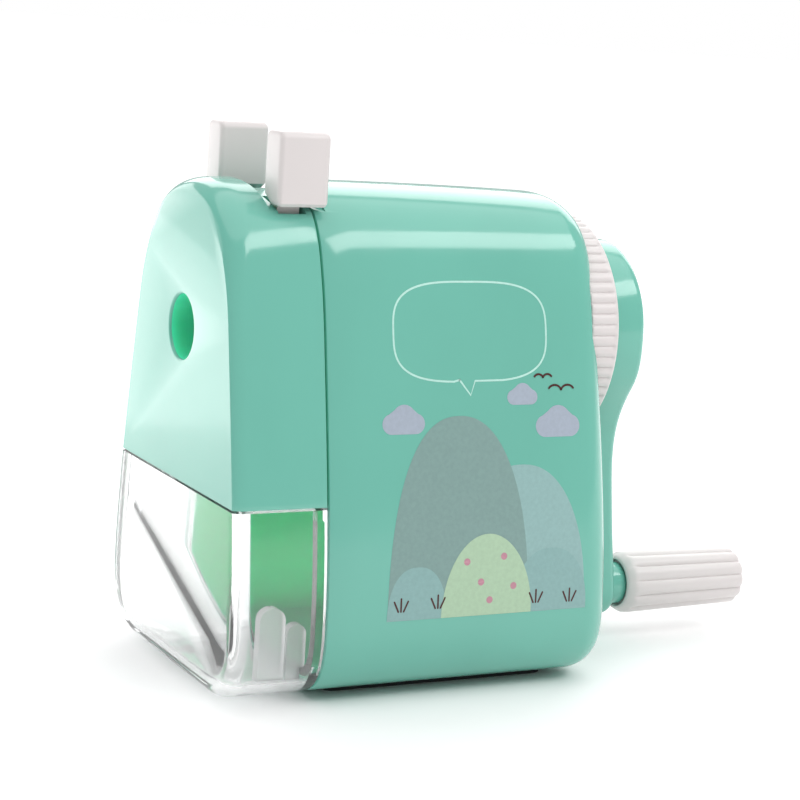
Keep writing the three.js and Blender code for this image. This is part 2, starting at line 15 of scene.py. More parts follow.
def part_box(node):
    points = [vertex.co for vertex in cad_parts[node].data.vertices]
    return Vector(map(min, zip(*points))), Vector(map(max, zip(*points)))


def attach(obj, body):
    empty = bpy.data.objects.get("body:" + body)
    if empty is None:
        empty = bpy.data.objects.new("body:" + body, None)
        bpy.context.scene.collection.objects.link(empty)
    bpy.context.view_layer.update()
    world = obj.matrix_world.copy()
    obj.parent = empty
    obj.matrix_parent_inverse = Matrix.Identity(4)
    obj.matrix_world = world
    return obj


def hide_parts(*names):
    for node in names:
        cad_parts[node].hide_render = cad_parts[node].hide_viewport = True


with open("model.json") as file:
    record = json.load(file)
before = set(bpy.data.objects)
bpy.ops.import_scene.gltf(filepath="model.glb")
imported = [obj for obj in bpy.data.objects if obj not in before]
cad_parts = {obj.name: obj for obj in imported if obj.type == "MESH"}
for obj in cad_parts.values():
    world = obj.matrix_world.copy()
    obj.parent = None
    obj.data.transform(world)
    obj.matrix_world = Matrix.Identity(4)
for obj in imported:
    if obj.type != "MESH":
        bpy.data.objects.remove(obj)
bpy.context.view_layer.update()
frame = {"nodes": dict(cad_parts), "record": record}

MM = 0.001
TAU = 2 * math.pi


def box_mm(node):
    """Lowest and highest corner of a CAD node, in millimetres."""
    low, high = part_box(node)
    return Vector(low) / MM, Vector(high) / MM


# ---------- sizes taken from the frame ----------
shell_low, shell_high = box_mm("body_shell")
cover_low, cover_high = box_mm("front_cover")
drawer_high = box_mm("drawer")[1]
ring_low, ring_high = box_mm("lock_ring")
crank_low, crank_high = box_mm("crank_arm")
knob_low, knob_high = box_mm("crank_knob")
lever_low, lever_high = box_mm("jaw_lever_right")
rod_low, rod_high = box_mm("guide_rod_right")
pin_low, pin_high = box_mm("jaw_pin_right")

HALF_WIDTH = shell_high.x - 0.03
BASE = shell_low.z + 0.02
TOP = shell_high.z - 0.02
HEIGHT = TOP - BASE
SEAM = shell_low.y
REAR = shell_high.y
AXIS_Z = (ring_low.z + ring_high.z) / 2
FRONT = cover_low.y
COVER_REAR = cover_high.y
COVER_FLOOR = cover_low.z
DRAWER_TOP = drawer_high.z
DRAWER_REAR = drawer_high.y
KNOB_Z = (knob_low.z + knob_high.z) / 2
WALL = 2.0
REAR_ROUND = 6.5
REAR_LEAN = 2.7            # how far the rear's top stands forward of its foot
TOP_FALL = 1.2             # how far the crown falls towards the rear
POCKET_TOP = 84.2          # height of the floor under the buttons, at its middle
POCKET_FALL = 3.3
POCKET_HALF = 17.5
WEB_LOW = 79.6             # underside of that floor
PIVOT_X = (pin_low.x + pin_high.x) / 2
PIVOT_Z = (pin_low.z + pin_high.z) / 2
ROD_X = (rod_low.x + rod_high.x) / 2
ROD_Z = (rod_low.z + rod_high.z) / 2
RING_R = (ring_high.z - ring_low.z) / 2 - 0.02
RING_FRONT = ring_high.y - 5.6

# ---------- the shell's outline, seen from the front ----------
# Right half from the base to the crown: shares of the half width and of the height.
HALF_CURVES = (
    ((0.592, 0.0), (0.819, 0.0), (1.0, 0.032), (1.0, 0.142)),
    ((1.0, 0.142), (1.0, 0.318), (0.854, 0.548), (0.774, 0.695)),
    ((0.774, 0.695), (0.728, 0.777), (0.693, 0.819), (0.638, 0.871)),
    ((0.638, 0.871), (0.557, 0.945), (0.401, 1.0), (0.0, 1.0)),
)
CURVE_STEPS = 22


def bezier(points, t):
    a, b, c, d = points
    s = 1 - t
    return a * s ** 3 + b * 3 * s * s * t + c * 3 * s * t * t + d * t ** 3


def bezier_slope(points, t):
    a, b, c, d = points
    s = 1 - t
    return (b - a) * 3 * s * s + (c - b) * 6 * s * t + (d - c) * 3 * t * t


def outline(inset=0.0):
    """Closed list of (x, z) round the shell, moved inwards by inset: a length or a function of z."""
    amount = inset if callable(inset) else lambda z: inset
    half = []
    for curve in HALF_CURVES:
        points = [Vector((x * HALF_WIDTH, BASE + z * HEIGHT)) for x, z in curve]
        for i in range(CURVE_STEPS):
            t = i / CURVE_STEPS
            p = bezier(points, t)
            n = bezier_slope(points, t).normalized()
            half.append((p.x - n.y * amount(p.y), p.y + n.x * amount(p.y)))
    crown = (0.0, TOP - amount(TOP))
    return half + [crown] + [(-x, z) for x, z in reversed(half)]


OUTLINE_HALF = [p for p in outline() if p[0] >= 0]


# ---------- mesh helpers ----------
def make_object(name, verts, faces):
    mesh = bpy.data.meshes.new(name)
    mesh.from_pydata([tuple(v) for v in verts], [], faces)
    mesh.update()
    obj = bpy.data.objects.new(name, mesh)
    bpy.context.scene.collection.objects.link(obj)
    return obj


def face_out(obj):
    """Joins doubled points and turns every face to the outside."""
    bm = bmesh.new()
    bm.from_mesh(obj.data)
    bmesh.ops.remove_doubles(bm, verts=bm.verts, dist=1e-4)
    bmesh.ops.recalc_face_normals(bm, faces=bm.faces)
    bm.to_mesh(obj.data)
    bm.free()
    return obj


def side_faces(rings):
    """Four-sided faces between neighbouring rings of equal length."""
    count = len(rings[0])
    faces = []
    for start in range(0, (len(rings) - 1) * count, count):
        for i in range(count):
            j = (i + 1) % count
            faces.append((start + i, start + j, start + count + j, start + count + i))
    return faces


def loft(name, rings):
    """Closed skin over rings of equal length."""
    count = len(rings[0])
    last = (len(rings) - 1) * count
    ends = [tuple(range(count)), tuple(range(last, last + count))]
    verts = [v for ring in rings for v in ring]
    return face_out(make_object(name, verts, side_faces(rings) + ends))


def quarter(steps, first=0):
    """Rounding of an edge from its one side to the other, as shares of its radius."""
    angles = [math.pi / 2 * i / steps for i in range(first, steps + 1)]
    return [(1 - math.sin(a), 1 - math.cos(a)) for a in angles]


def turned(name, profile, x=0.0, z=None, segments=96, radius_at=None):
    """Turned piece about the Y direction; profile is a list of (radius, y)."""
    z = AXIS_Z if z is None else z
    rings = []
    for r, y in profile:
        ring = []
        for i in range(segments):
            a = TAU * i / segments
            rr = radius_at(r, y, a) if radius_at else r
            ring.append((x + rr * math.cos(a), y, z + rr * math.sin(a)))
        rings.append(ring)
    return loft(name, rings)


def rounded_profile(r0, r1, y0, y1, round_start, round_end, steps=5):
    """Profile of a solid rod from y0 to y1 with rounded ends, radius r0 to r1."""
    start = [(r0 - round_start * u, y0 + round_start * v) for u, v in quarter(steps)]
    return start + [(r1 - round_end * v, y1 - round_end * u) for u, v in quarter(steps)]


def slab(name, low, high):
    """Closed six-sided tool for cuts."""
    (x0, y0, z0), (x1, y1, z1) = low, high
    ring = [(x0, z0), (x1, z0), (x1, z1), (x0, z1)]
    return loft(name, [[(x, y, z) for x, z in ring] for y in (y0, y1)])


def prism_z(name, points, z0, z1):
    """Solid with the (x, y) outline from z0 to z1."""
    return loft(name, [[(x, y, z) for x, y in points] for z in (z0, z1)])


def cut(obj, tool, operation="DIFFERENCE"):
    """Boolean with the tool, applied at once. The tool is used up."""
    mod = obj.modifiers.new("cut", "BOOLEAN")
    mod.operation = operation
    mod.solver = "EXACT"
    mod.object = tool
    depsgraph = bpy.context.evaluated_depsgraph_get()
    mesh = bpy.data.meshes.new_from_object(obj.evaluated_get(depsgraph))
    obj.modifiers.clear()
    old = obj.data
    obj.data = mesh
    bpy.data.meshes.remove(old)
    bpy.data.objects.remove(tool)
    return obj


def soften_edges(obj, chosen, width, segments=2):
    """Rounds the sharp edges for which chosen(middle point) is true."""
    bm = bmesh.new()
    bm.from_mesh(obj.data)
    bmesh.ops.dissolve_limit(bm, angle_limit=math.radians(0.05), verts=bm.verts, edges=bm.edges)
    picked = []
    for edge in bm.edges:
        if len(edge.link_faces) != 2 or edge.calc_face_angle(0) < math.radians(40):
            continue
        middle = (edge.verts[0].co + edge.verts[1].co) / 2
        if chosen(middle):
            picked.append(edge)
    bmesh.ops.bevel(bm, geom=picked, offset=width, segments=segments, profile=0.6,
                    affect="EDGES", clamp_overlap=True)
    bm.to_mesh(obj.data)
    bm.free()
    return obj


def smooth(obj, degrees=32):
    """Smooth shading, with edges sharper than the angle kept."""
    bm = bmesh.new()
    bm.from_mesh(obj.data)
    for face in bm.faces:
        face.smooth = True
    for edge in bm.edges:
        if len(edge.link_faces) == 2:
            edge.smooth = edge.calc_face_angle(0) < math.radians(degrees)
    bm.to_mesh(obj.data)
    bm.free()


def is_hidden(polygon):
    """True for a face inside the shell, which looks back to the hollow; such faces get the mint with
    painted glow.
    """
    p = polygon.center
    if not FRONT + 0.4 < p.y < REAR - 1.5:
        return False
    half_width = min(OUTLINE_HALF, key=lambda q: abs(q[1] - p.z))[0]
    deep = abs(p.x) < half_width - 0.8 and BASE + 0.8 < p.z < TOP - 1.4
    axis = math.hypot(p.x, p.z - AXIS_Z)
    if axis < 5.6 and p.y < FRONT + 6:
        return True
    return deep and polygon.normal.dot(p - Vector((0, 4, 44))) < 0


def finish_piece(obj, body, material, nodes=(), degrees=32, inner=None):
    """Scales a piece to metres and hands it to its body; inner is the finish of hidden faces, a
    brighter mint with painted glow.
    """
    smooth(obj, degrees)
    obj.data.materials.clear()
    obj.data.materials.append(material)
    # Faces inside the hollow and the mouth take the inner finish, the mint with painted glow.
    if inner:
        obj.data.materials.append(inner)
        for polygon in obj.data.polygons:
            polygon.material_index = 1 if is_hidden(polygon) else 0
    obj.data.transform(Matrix.Scale(MM, 4))
    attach(obj, body)
    if nodes:
        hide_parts(*nodes)
    return obj


# ---------- materials ----------
class Nodes:
    """Short way to add and link shader nodes."""

    def __init__(self, name):
        self.material = bpy.data.materials.new(name)
        self.material.use_nodes = True
        self.tree = self.material.node_tree
        self.shader = self.tree.nodes["Principled BSDF"]
        self.output = self.tree.nodes["Material Output"]
        self.place = self.add("ShaderNodeTexCoord").outputs["Object"]

    def add(self, kind, **values):
        node = self.tree.nodes.new(kind)
        for key, value in values.items():
            setattr(node, key, value)
        return node

    def link(self, source, target):
        self.tree.links.new(source, target)

    def noise(self, scale, detail=2.0, roughness=0.5, stretch=None):
        node = self.add("ShaderNodeTexNoise")
        node.inputs["Scale"].default_value = scale
        node.inputs["Detail"].default_value = detail
        node.inputs["Roughness"].default_value = roughness
        source = self.place
        if stretch:
            mapping = self.add("ShaderNodeMapping")
            mapping.inputs["Scale"].default_value = stretch
            self.link(source, mapping.inputs["Vector"])
            source = mapping.outputs["Vector"]
        self.link(source, node.inputs["Vector"])
        return node.outputs["Fac"]

    def ramp(self, source, stops):
        node = self.add("ShaderNodeValToRGB")
        elements = node.color_ramp.elements
        while len(elements) < len(stops):
            elements.new(0.5)
        for element, (position, colour) in zip(elements, stops):
            element.position = position
            element.color = colour if len(colour) == 4 else (*colour, 1)
        self.link(source, node.inputs["Fac"])
        return node.outputs["Color"]

    def spread(self, source, low, high):
        node = self.add("ShaderNodeMapRange")
        node.inputs["To Min"].default_value = low
        node.inputs["To Max"].default_value = high
        node.inputs["From Min"].default_value = 0.3
        node.inputs["From Max"].default_value = 0.7
        self.link(source, node.inputs["Value"])
        return node.outputs["Result"]

    def bump(self, source, strength, distance):
        node = self.add("ShaderNodeBump")
        node.inputs["Strength"].default_value = strength
        node.inputs["Distance"].default_value = distance
        self.link(source, node.inputs["Height"])
        self.link(node.outputs["Normal"], self.shader.inputs["Normal"])


def tint(colour, factor):
    """The colour made lighter or darker."""
    return tuple(min(1.0, c * factor) for c in colour)


def moulded(name, colour, roughness, coat=0.0, grain=0.06, vary=0.03, glow=0.0):
    """Injection-moulded plastic: faint flow marks, orange peel and handling haze.

    glow is the share of light that reaches a hidden face through the thin wall.
    """
    n = Nodes(name)
    flow = n.noise(38.0, 3.0, 0.55, stretch=(1.0, 1.0, 0.45))
    n.link(n.ramp(flow, [(0.3, tint(colour, 1 - vary)), (0.7, tint(colour, 1 + vary))]),
           n.shader.inputs["Base Color"])
    haze = n.noise(120.0, 4.0, 0.6)
    n.link(n.spread(haze, roughness - 0.03, roughness + 0.05), n.shader.inputs["Roughness"])
    n.bump(n.noise(900.0, 2.0, 0.5), grain, 0.00005)
    n.shader.inputs["IOR"].default_value = 1.5
    n.shader.inputs["Coat Weight"].default_value = coat
    n.shader.inputs["Coat Roughness"].default_value = 0.08
    if glow:
        n.shader.inputs["Subsurface Weight"].default_value = glow
        n.shader.inputs["Subsurface Radius"].default_value = (0.4, 1.0, 0.75)
        n.shader.inputs["Subsurface Scale"].default_value = 0.008
    return n.material


def metal(name, colour, roughness, stretch=(1, 40, 1), scale=180.0):
    """Drawn or ground metal with fine lines along the Y direction's circles."""
    n = Nodes(name)
    lines = n.noise(scale, 3.0, 0.6, stretch=stretch)
    n.link(n.ramp(lines, [(0.25, tint(colour, 0.82)), (0.75, tint(colour, 1.08))]),
           n.shader.inputs["Base Color"])
    n.link(n.spread(lines, roughness - 0.06, roughness + 0.1), n.shader.inputs["Roughness"])
    n.bump(lines, 0.15, 0.00005)
    n.shader.inputs["Metallic"].default_value = 1.0
    return n.material


def clear_plastic(name, haze_low=0.02, haze_high=0.07, milk=0.0):
    """Water-clear polystyrene with faint haze; lamps reach through it."""
    n = Nodes(name)
    n.shader.inputs["Transmission Weight"].default_value = 1.0 - milk
    n.shader.inputs["IOR"].default_value = 1.46
    haze = n.noise(90.0, 3.0, 0.6)
    n.link(n.spread(haze, haze_low, haze_high), n.shader.inputs["Roughness"])
    n.link(n.ramp(haze, [(0.2, (0.975, 0.98, 0.98)), (0.8, (0.995, 0.995, 0.995))]),
           n.shader.inputs["Base Color"])
    n.bump(n.noise(260.0, 2.0, 0.5), 0.05, 0.00005)
    path = n.add("ShaderNodeLightPath")
    through = n.add("ShaderNodeBsdfTransparent")
    through.inputs["Color"].default_value = (0.96, 0.97, 0.97, 1)
    mix = n.add("ShaderNodeMixShader")
    n.link(path.outputs["Is Shadow Ray"], mix.inputs["Fac"])
    n.link(n.shader.outputs["BSDF"], mix.inputs[1])
    n.link(through.outputs["BSDF"], mix.inputs[2])
    n.link(mix.outputs["Shader"], n.output.inputs["Surface"])
    return n.material


def ink(name, colour):
    """Pad-printed ink film: slightly uneven, a little less glossy than the plastic."""
    n = Nodes(name)
    speckle = n.noise(1400.0, 2.0, 0.6)
    n.link(n.ramp(speckle, [(0.3, tint(colour, 0.95)), (0.7, tint(colour, 1.04))]),
           n.shader.inputs["Base Color"])
    n.link(n.spread(n.noise(500.0), 0.32, 0.42), n.shader.inputs["Roughness"])
    n.bump(speckle, 0.04, 0.00003)
    return n.material


def rubber(name, colour):
    n = Nodes(name)
    grain = n.noise(700.0, 4.0, 0.7)
    n.link(n.ramp(grain, [(0.3, tint(colour, 0.7)), (0.7, tint(colour, 1.3))]),
           n.shader.inputs["Base Color"])
    n.link(n.spread(grain, 0.7, 0.9), n.shader.inputs["Roughness"])
    n.bump(grain, 0.3, 0.0001)
    return n.material


MINT = moulded("mint_plastic", (0.145, 0.455, 0.365), 0.13, coat=0.25)
# The same mint on the hidden inside faces, painted brighter and greener: painted glow for light that
# comes through the thin wall and bounces in the hollow.
MINT_INSIDE_PAINTED_GLOW = moulded("mint_inside_painted_glow", (0.08, 0.72, 0.42), 0.45, glow=1.0)
WHITE = moulded("white_plastic", (0.68, 0.635, 0.63), 0.36)
BLACK = moulded("black_plastic", (0.03, 0.03, 0.032), 0.45)
CLEAR = clear_plastic("clear_plastic", milk=0.035)
CLEAR_HAZY = clear_plastic("clear_plastic_hazy", 0.25, 0.4, milk=0.3)
RUBBER = rubber("foot_rubber", (0.018, 0.018, 0.019))
STEEL = metal("steel", (0.62, 0.63, 0.65), 0.24)
ALLOY = metal("alloy", (0.5, 0.51, 0.52), 0.38, stretch=(1, 1, 1), scale=300.0)
BRASS = metal("gear_brass", (0.72, 0.52, 0.22), 0.3)

# The finish of each material slot of the record.
SLOT_LOOK = {"mint_plastic": MINT, "white_plastic": WHITE, "black_plastic": BLACK,
             "clear_plastic": CLEAR, "foot_rubber": RUBBER, "steel": STEEL, "alloy": ALLOY,
             "gear_brass": BRASS}


# ---------- shell lofts ----------
def lean(x, y, z):
    """Rear face leans forward towards the top, and the top falls a little to the rear."""
    along = max(0.0, (y - SEAM) / (REAR - SEAM))
    up = (z - BASE) / HEIGHT
    high = max(0.0, (z - AXIS_Z) / (TOP - AXIS_Z))
    return (x, y - REAR_LEAN * up * along ** 3, z - TOP_FALL * along ** 2 * high ** 2)


def ring_at(inset, y, bend=False):
    """The outline at depth y; bend gives it the lean of the shell."""
    points = [(x, y, z) for x, z in outline(inset)]
    return [lean(*p) for p in points] if bend else points


def body_solid(name, inset, front, rear, rounding):
    """Solid of the shell's outline with a rounded rear edge."""
    rings = []
    if inset == 0:
        rings.append(ring_at(0.3, front))
        rings.append(ring_at(0.09, front + 0.09))
        rings.append(ring_at(0.0, front + 0.3))
    else:
        rings.append(ring_at(inset, front))
    for i in range(1, 9):
        y = front + (rear - rounding - front) * i / 9
        rings.append(ring_at(inset, y, True))
    for u, v in quarter(12):
        rings.append(ring_at(inset + rounding * v, rear - rounding * u, True))
    return loft(name, rings)


def step_between(value, low, high):
    """Smooth change from 0 at low to 1 at high."""
    t = min(1.0, max(0.0, (value - low) / (high - low)))
    return t * t * (3 - 2 * t)


def by_height(bottom, side, top):
    """Value that changes from the shell's bottom over its sides to its crown."""
    def value(z):
        upper = step_between(z, 66.0, 84.0)
        lower = 1 - step_between(z, BASE + 2.0, BASE + 12.0)
        return side + (top - side) * upper + (bottom - side) * lower
    return value


EDGE_INSET = by_height(3.0, 1.25, 3.6)     # rounding of the front edge, seen from the front
EDGE_DEPTH = by_height(3.2, 3.0, 5.6)      # the same rounding, seen from the side


def front_skin(name):
    """Outside of cover and drawer: a flat face, a thin crease and a rounded edge."""
    start = math.radians(16)
    base = outline()
    rings = []
    for i in range(11):
        a = start + (math.pi / 2 - start) * i / 10
        moved = outline(lambda z: EDGE_INSET(z) * (1 - math.sin(a)))
        rings.append([(x, FRONT + EDGE_DEPTH(z0) * (math.cos(start) - math.cos(a)), z)
                      for (x, z), (_, z0) in zip(moved, base)])
    for inset, back in ((0.0, 0.3), (0.09, 0.09), (0.3, 0.0)):
        rings.append(ring_at(inset, COVER_REAR - back))
    return loft(name, rings)


def front_solid(name, inset, front, rear, rounding):
    """Solid inside that skin, inset from it, with a rounded front edge."""
    rings = [ring_at(inset + rounding * u, front + rounding * v) for u, v in quarter(8)]
    rings.append(ring_at(inset, rear))
    return loft(name, rings)


def pocket_floor(x):
    """Height of the crowned floor under the buttons."""
    return POCKET_TOP - POCKET_FALL * (x / lever_high.x) ** 2


def above_pocket():
    """Everything above the crowned floor of the pocket in which the buttons travel."""
    floor = []
    for i in range(33):
        x = POCKET_HALF * (i / 16 - 1)
        floor.append((x, pocket_floor(x)))
    ring = floor + [(POCKET_HALF, TOP + 10), (-POCKET_HALF, TOP + 10)]
    return loft("above_pocket", [[(x, y, z) for x, z in ring] for y in (FRONT - 5, 0)])


def pocket_tool():
    """The part of that room in the cover, with an arched front edge."""
    edge = lever_low.y + 0.1
    points = [(-POCKET_HALF, -10), (POCKET_HALF, -10), (POCKET_HALF, edge)]
    for i in range(1, 25):
        t = i / 24
        points.append((POCKET_HALF * (1 - 2 * t), edge - 6.0 * t * (1 - t)))
    return cut(prism_z("pocket", points, 70, TOP + 5), above_pocket(), "INTERSECT")


# ---------- body shell ----------
def build_body():
    body = body_solid("body_shell_skin", 0, SEAM, REAR, REAR_ROUND)
    inner = body_solid("inner", WALL, SEAM - 5, REAR - WALL, REAR_ROUND - 1.5)
    cut(body, inner)
    web = slab("web", (-16.0, SEAM + 0.02, WEB_LOW), (16.0, SEAM + 4.1, TOP - 1.2))
    room = loft("room", [ring_at(WALL - 0.8, y) for y in (SEAM - 1, REAR - 5)])
    cut(web, room, "INTERSECT")
    cut(body, web, "UNION")
    notch = slab("notch", (-30, SEAM - 2, 60), (30, lever_high.y + 0.5, TOP + 5))
    cut(body, cut(notch, above_pocket(), "INTERSECT"))
    seat_y = RING_FRONT - 0.3
    seat_r = RING_R + 0.5
    seat = turned("seat", [(seat_r, seat_y), (seat_r, REAR + 9)], segments=160)
    collar = turned("collar", [(RING_R - 0.1, seat_y - 2), (RING_R - 0.1, seat_y + 0.05)], segments=160)
    cut(body, collar, "UNION")
    cut(body, seat)
    cut(body, turned("bore", [(18.2, 10), (18.2, REAR + 9)], segments=160))
    cut(body, slab("pad_seat", (-19.3, -16.3, BASE - 2), (19.3, 28.3, BASE + 1)))
    # Hidden faces of the shell get the mint with painted glow.
    return finish_piece(body, "base", MINT, ["body_shell"], inner=MINT_INSIDE_PAINTED_GLOW)


# ---------- front cover ----------
MOUTH_R = 5.57
PENCIL_R = 4.4
LIP = 0.45                 # rounding of the mouth's edge


def funnel_tool():
    profile = [(MOUTH_R + 1.4, FRONT - 1.0), (MOUTH_R + LIP, FRONT - 0.001)]
    profile += [(MOUTH_R + LIP * u, FRONT + LIP * v) for u, v in quarter(5, 1)]
    profile += [(PENCIL_R + 0.05, FRONT + 3.9), (PENCIL_R, FRONT + 7.5)]
    return turned("funnel", profile, segments=128)


def build_cover():
    cover = front_skin("front_cover_skin")
    keep = slab("keep", (-40, FRONT - 5, COVER_FLOOR), (40, COVER_REAR + 5, TOP + 5))
    cut(cover, keep, "INTERSECT")
    room = front_solid("room", WALL, FRONT + WALL, COVER_REAR + 5, 3.0)
    above = slab("above", (-40, FRONT - 5, COVER_FLOOR + WALL), (40, COVER_REAR + 9, TOP + 5))
    cut(room, above, "INTERSECT")
    cut(cover, room)
    zone = front_solid("zone", 1.2, FRONT + 1.0, COVER_REAR - 0.02, 4.5)
    posts = turned("posts", [(8, FRONT + 1), (8, -31)], segments=64)
    for s in (-1, 1):
        cut(posts, turned("rod_post", [(3.4, FRONT + 1), (3.4, -30)], s * ROD_X, ROD_Z, 40), "UNION")
        cut(posts, turned("pin_post", [(3.0, FRONT + 1), (3.0, -27)], s * PIVOT_X, PIVOT_Z, 40),
            "UNION")
    cut(posts, slab("floor", (-16.4, -31.0, WEB_LOW), (16.4, 0, TOP - 1.1)), "UNION")
    cut(posts, slab("rib", (-1.1, FRONT + 1, 73.6), (1.1, -21.6, WEB_LOW + 0.5)), "UNION")
    cut(posts, zone, "INTERSECT")
    cut(cover, posts, "UNION")
    cut(cover, pocket_tool())
    for s in (-1, 1):
        x0, x1 = sorted((s * 7.0, s * 14.4))
        cut(cover, slab("slot", (x0, -27, WEB_LOW - 2), (x1, -22, TOP)))
        cut(cover, turned("rod_bore", [(1.85, -35), (1.85, -20)], s * ROD_X, ROD_Z, 40))
        cut(cover, turned("pin_bore", [(1.45, -35), (1.45, -20)], s * PIVOT_X, PIVOT_Z, 40))
    cut(cover, funnel_tool())
    soften_edges(cover, lambda p: abs(p.z - COVER_FLOOR) < 0.01 and p.y < COVER_REAR - 0.5, 0.35)
    # Hidden faces of the cover and its mouth get the mint with painted glow.
    return finish_piece(cover, "cover", MINT, ["front_cover"], inner=MINT_INSIDE_PAINTED_GLOW)


# ---------- drawer ----------
TAB_X = (18.2, 20.2)
TABS = ((-27.3, 15.0, 2.2), (-23.1, 12.0, 1.6))      # y, height and half width of the moulded tabs


def on_tab(p):
    """True for a point on the stretch of side wall that holds the two frosted tabs."""
    beside = TAB_X[0] - 0.1 < p.x < TAB_X[1] + 0.1
    return beside and FRONT + 5 < p.y < COVER_REAR - 0.4 and BASE + 2 < p.z < BASE + 16


def build_drawer():
    box = front_skin("drawer_skin")
    tray_top = DRAWER_TOP - 2.5
    tray = body_solid("tray", 2.7, COVER_REAR - 2, DRAWER_REAR, 2.0)
    cut(tray, slab("below", (-40, -60, -5), (40, 60, tray_top)), "INTERSECT")
    cut(box, slab("below", (-40, -60, -5), (40, 60, DRAWER_TOP)), "INTERSECT")
    cut(box, tray, "UNION")
    front_room = front_solid("front_room", 1.8, FRONT + 1.8, COVER_REAR - 1.5, 2.4)
    tray_room = body_solid("tray_room", 4.2, FRONT + 6, DRAWER_REAR - 1.5, 1.0)
    cut(front_room, tray_room, "UNION")
    cut(box, front_room)
    for y, height, half in TABS:
        points = [(y - half, BASE + 1.0), (y + half, BASE + 1.0)]
        top = BASE + height - half
        for i in range(17):
            a = math.pi * i / 16
            points.append((y + half * math.cos(a), top + half * math.sin(a)))
        rings = [[(x, py, pz) for py, pz in points] for x in TAB_X]
        cut(box, loft("tab", rings), "UNION")
    finish_piece(box, "drawer_box", CLEAR, ["drawer"], 30)
    box.data.materials.append(CLEAR_HAZY)
    for polygon in box.data.polygons:
        polygon.material_index = 1 if on_tab(polygon.center / MM) else 0
    return box


# ---------- buttons with jaw levers ----------
BUTTON_IN = lever_high.x - 6.5
BUTTON_LOW = lever_high.z - 12.3


def lever_outline(s):
    """Button seen from the front: rounded at the top, slanted at its inner foot."""
    x_in, x_out = BUTTON_IN, lever_high.x
    top, low, r = lever_high.z, BUTTON_LOW, 1.3
    points = [(x_in + 3.0, low), (x_out - 0.5, low), (x_out, low + 0.5)]
    points += [(x_out - r * v, top - r * u) for u, v in quarter(6)]
    points += [(x_in + r * u, top - r * v) for u, v in quarter(6)]
    points.append((x_in, low + 1.6))
    return [(s * x, z) for x, z in points]


def shrink(points, amount):
    """Closed (x, z) outline moved towards its inside by amount."""
    count = len(points)
    area = sum(points[i][0] * points[(i + 1) % count][1] - points[(i + 1) % count][0] * points[i][1]
               for i in range(count))
    side = 1 if area > 0 else -1
    result = []
    for i in range(count):
        a, b, c = (Vector(points[(i + k) % count]) for k in (-1, 0, 1))
        n1 = Vector((-(b - a).y, (b - a).x)).normalized()
        n2 = Vector((-(c - b).y, (c - b).x)).normalized()
        n = n1 + n2
        n = n / max(0.5, n.dot(n1))
        result.append((b.x + side * n.x * amount, b.y + side * n.y * amount))
    return result


def rounded_prism_y(name, points, y0, y1, r, steps=5):
    """Solid with the (x, z) outline from y0 to y1, its end edges rounded by r."""
    front = [[(x, y0 + r * v, z) for x, z in shrink(points, r * u)] for u, v in quarter(steps)]
    rear = [[(x, y1 - r * u, z) for x, z in shrink(points, r * v)] for u, v in quarter(steps)]
    return loft(name, front + rear)


LEVER_Y = (-26.5, -22.5)


def build_lever(side, s):
    """Button, neck and jaw arm in one piece; s is -1 on the left and 1 on the right."""
    y0, y1 = LEVER_Y
    lever = rounded_prism_y(f"jaw_lever_{side}_skin", lever_outline(s), lever_low.y, lever_high.y, 0.85)
    x0, x1 = sorted((s * 9.9, s * 12.6))
    cut(lever, slab("neck", (x0, y0, PIVOT_Z), (x1, y1, BUTTON_LOW + 3.0)), "UNION")
    arm = [(6.4, 73), (12.6, 73), (9.2, 66), (8.4, 63.5), (8.4, 57.6), (7.9, 57), (3.9, 57),
           (3.6, 57.4), (3.6, 64.5)]
    cut(lever, loft("arm", [[(s * x, y, z) for x, z in arm] for y in (y0, y1)]), "UNION")
    cut(lever, turned("boss", rounded_profile(3.2, 3.2, y0, y1, 0.3, 0.3), s * PIVOT_X, PIVOT_Z, 48),
        "UNION")
    cut(lever, turned("bore", [(1.6, -30), (1.6, -20)], s * PIVOT_X, PIVOT_Z, 32))
    return finish_piece(lever, f"jaw_{side}", WHITE, [f"jaw_lever_{side}"], 35)


# ---------- knurled locking ring ----------
RIBS = 66
RIB_DEPTH = 0.42
SKIRT_R = 17.45
LUG_R = 19.4


def sector(r, a0, a1, steps=12):
    """Points on a circle about the crank's axis, from angle a0 to a1 in degrees."""
    angles = [math.radians(a0 + (a1 - a0) * i / steps) for i in range(steps + 1)]
    return [(r * math.cos(a), AXIS_Z + r * math.sin(a)) for a in angles]


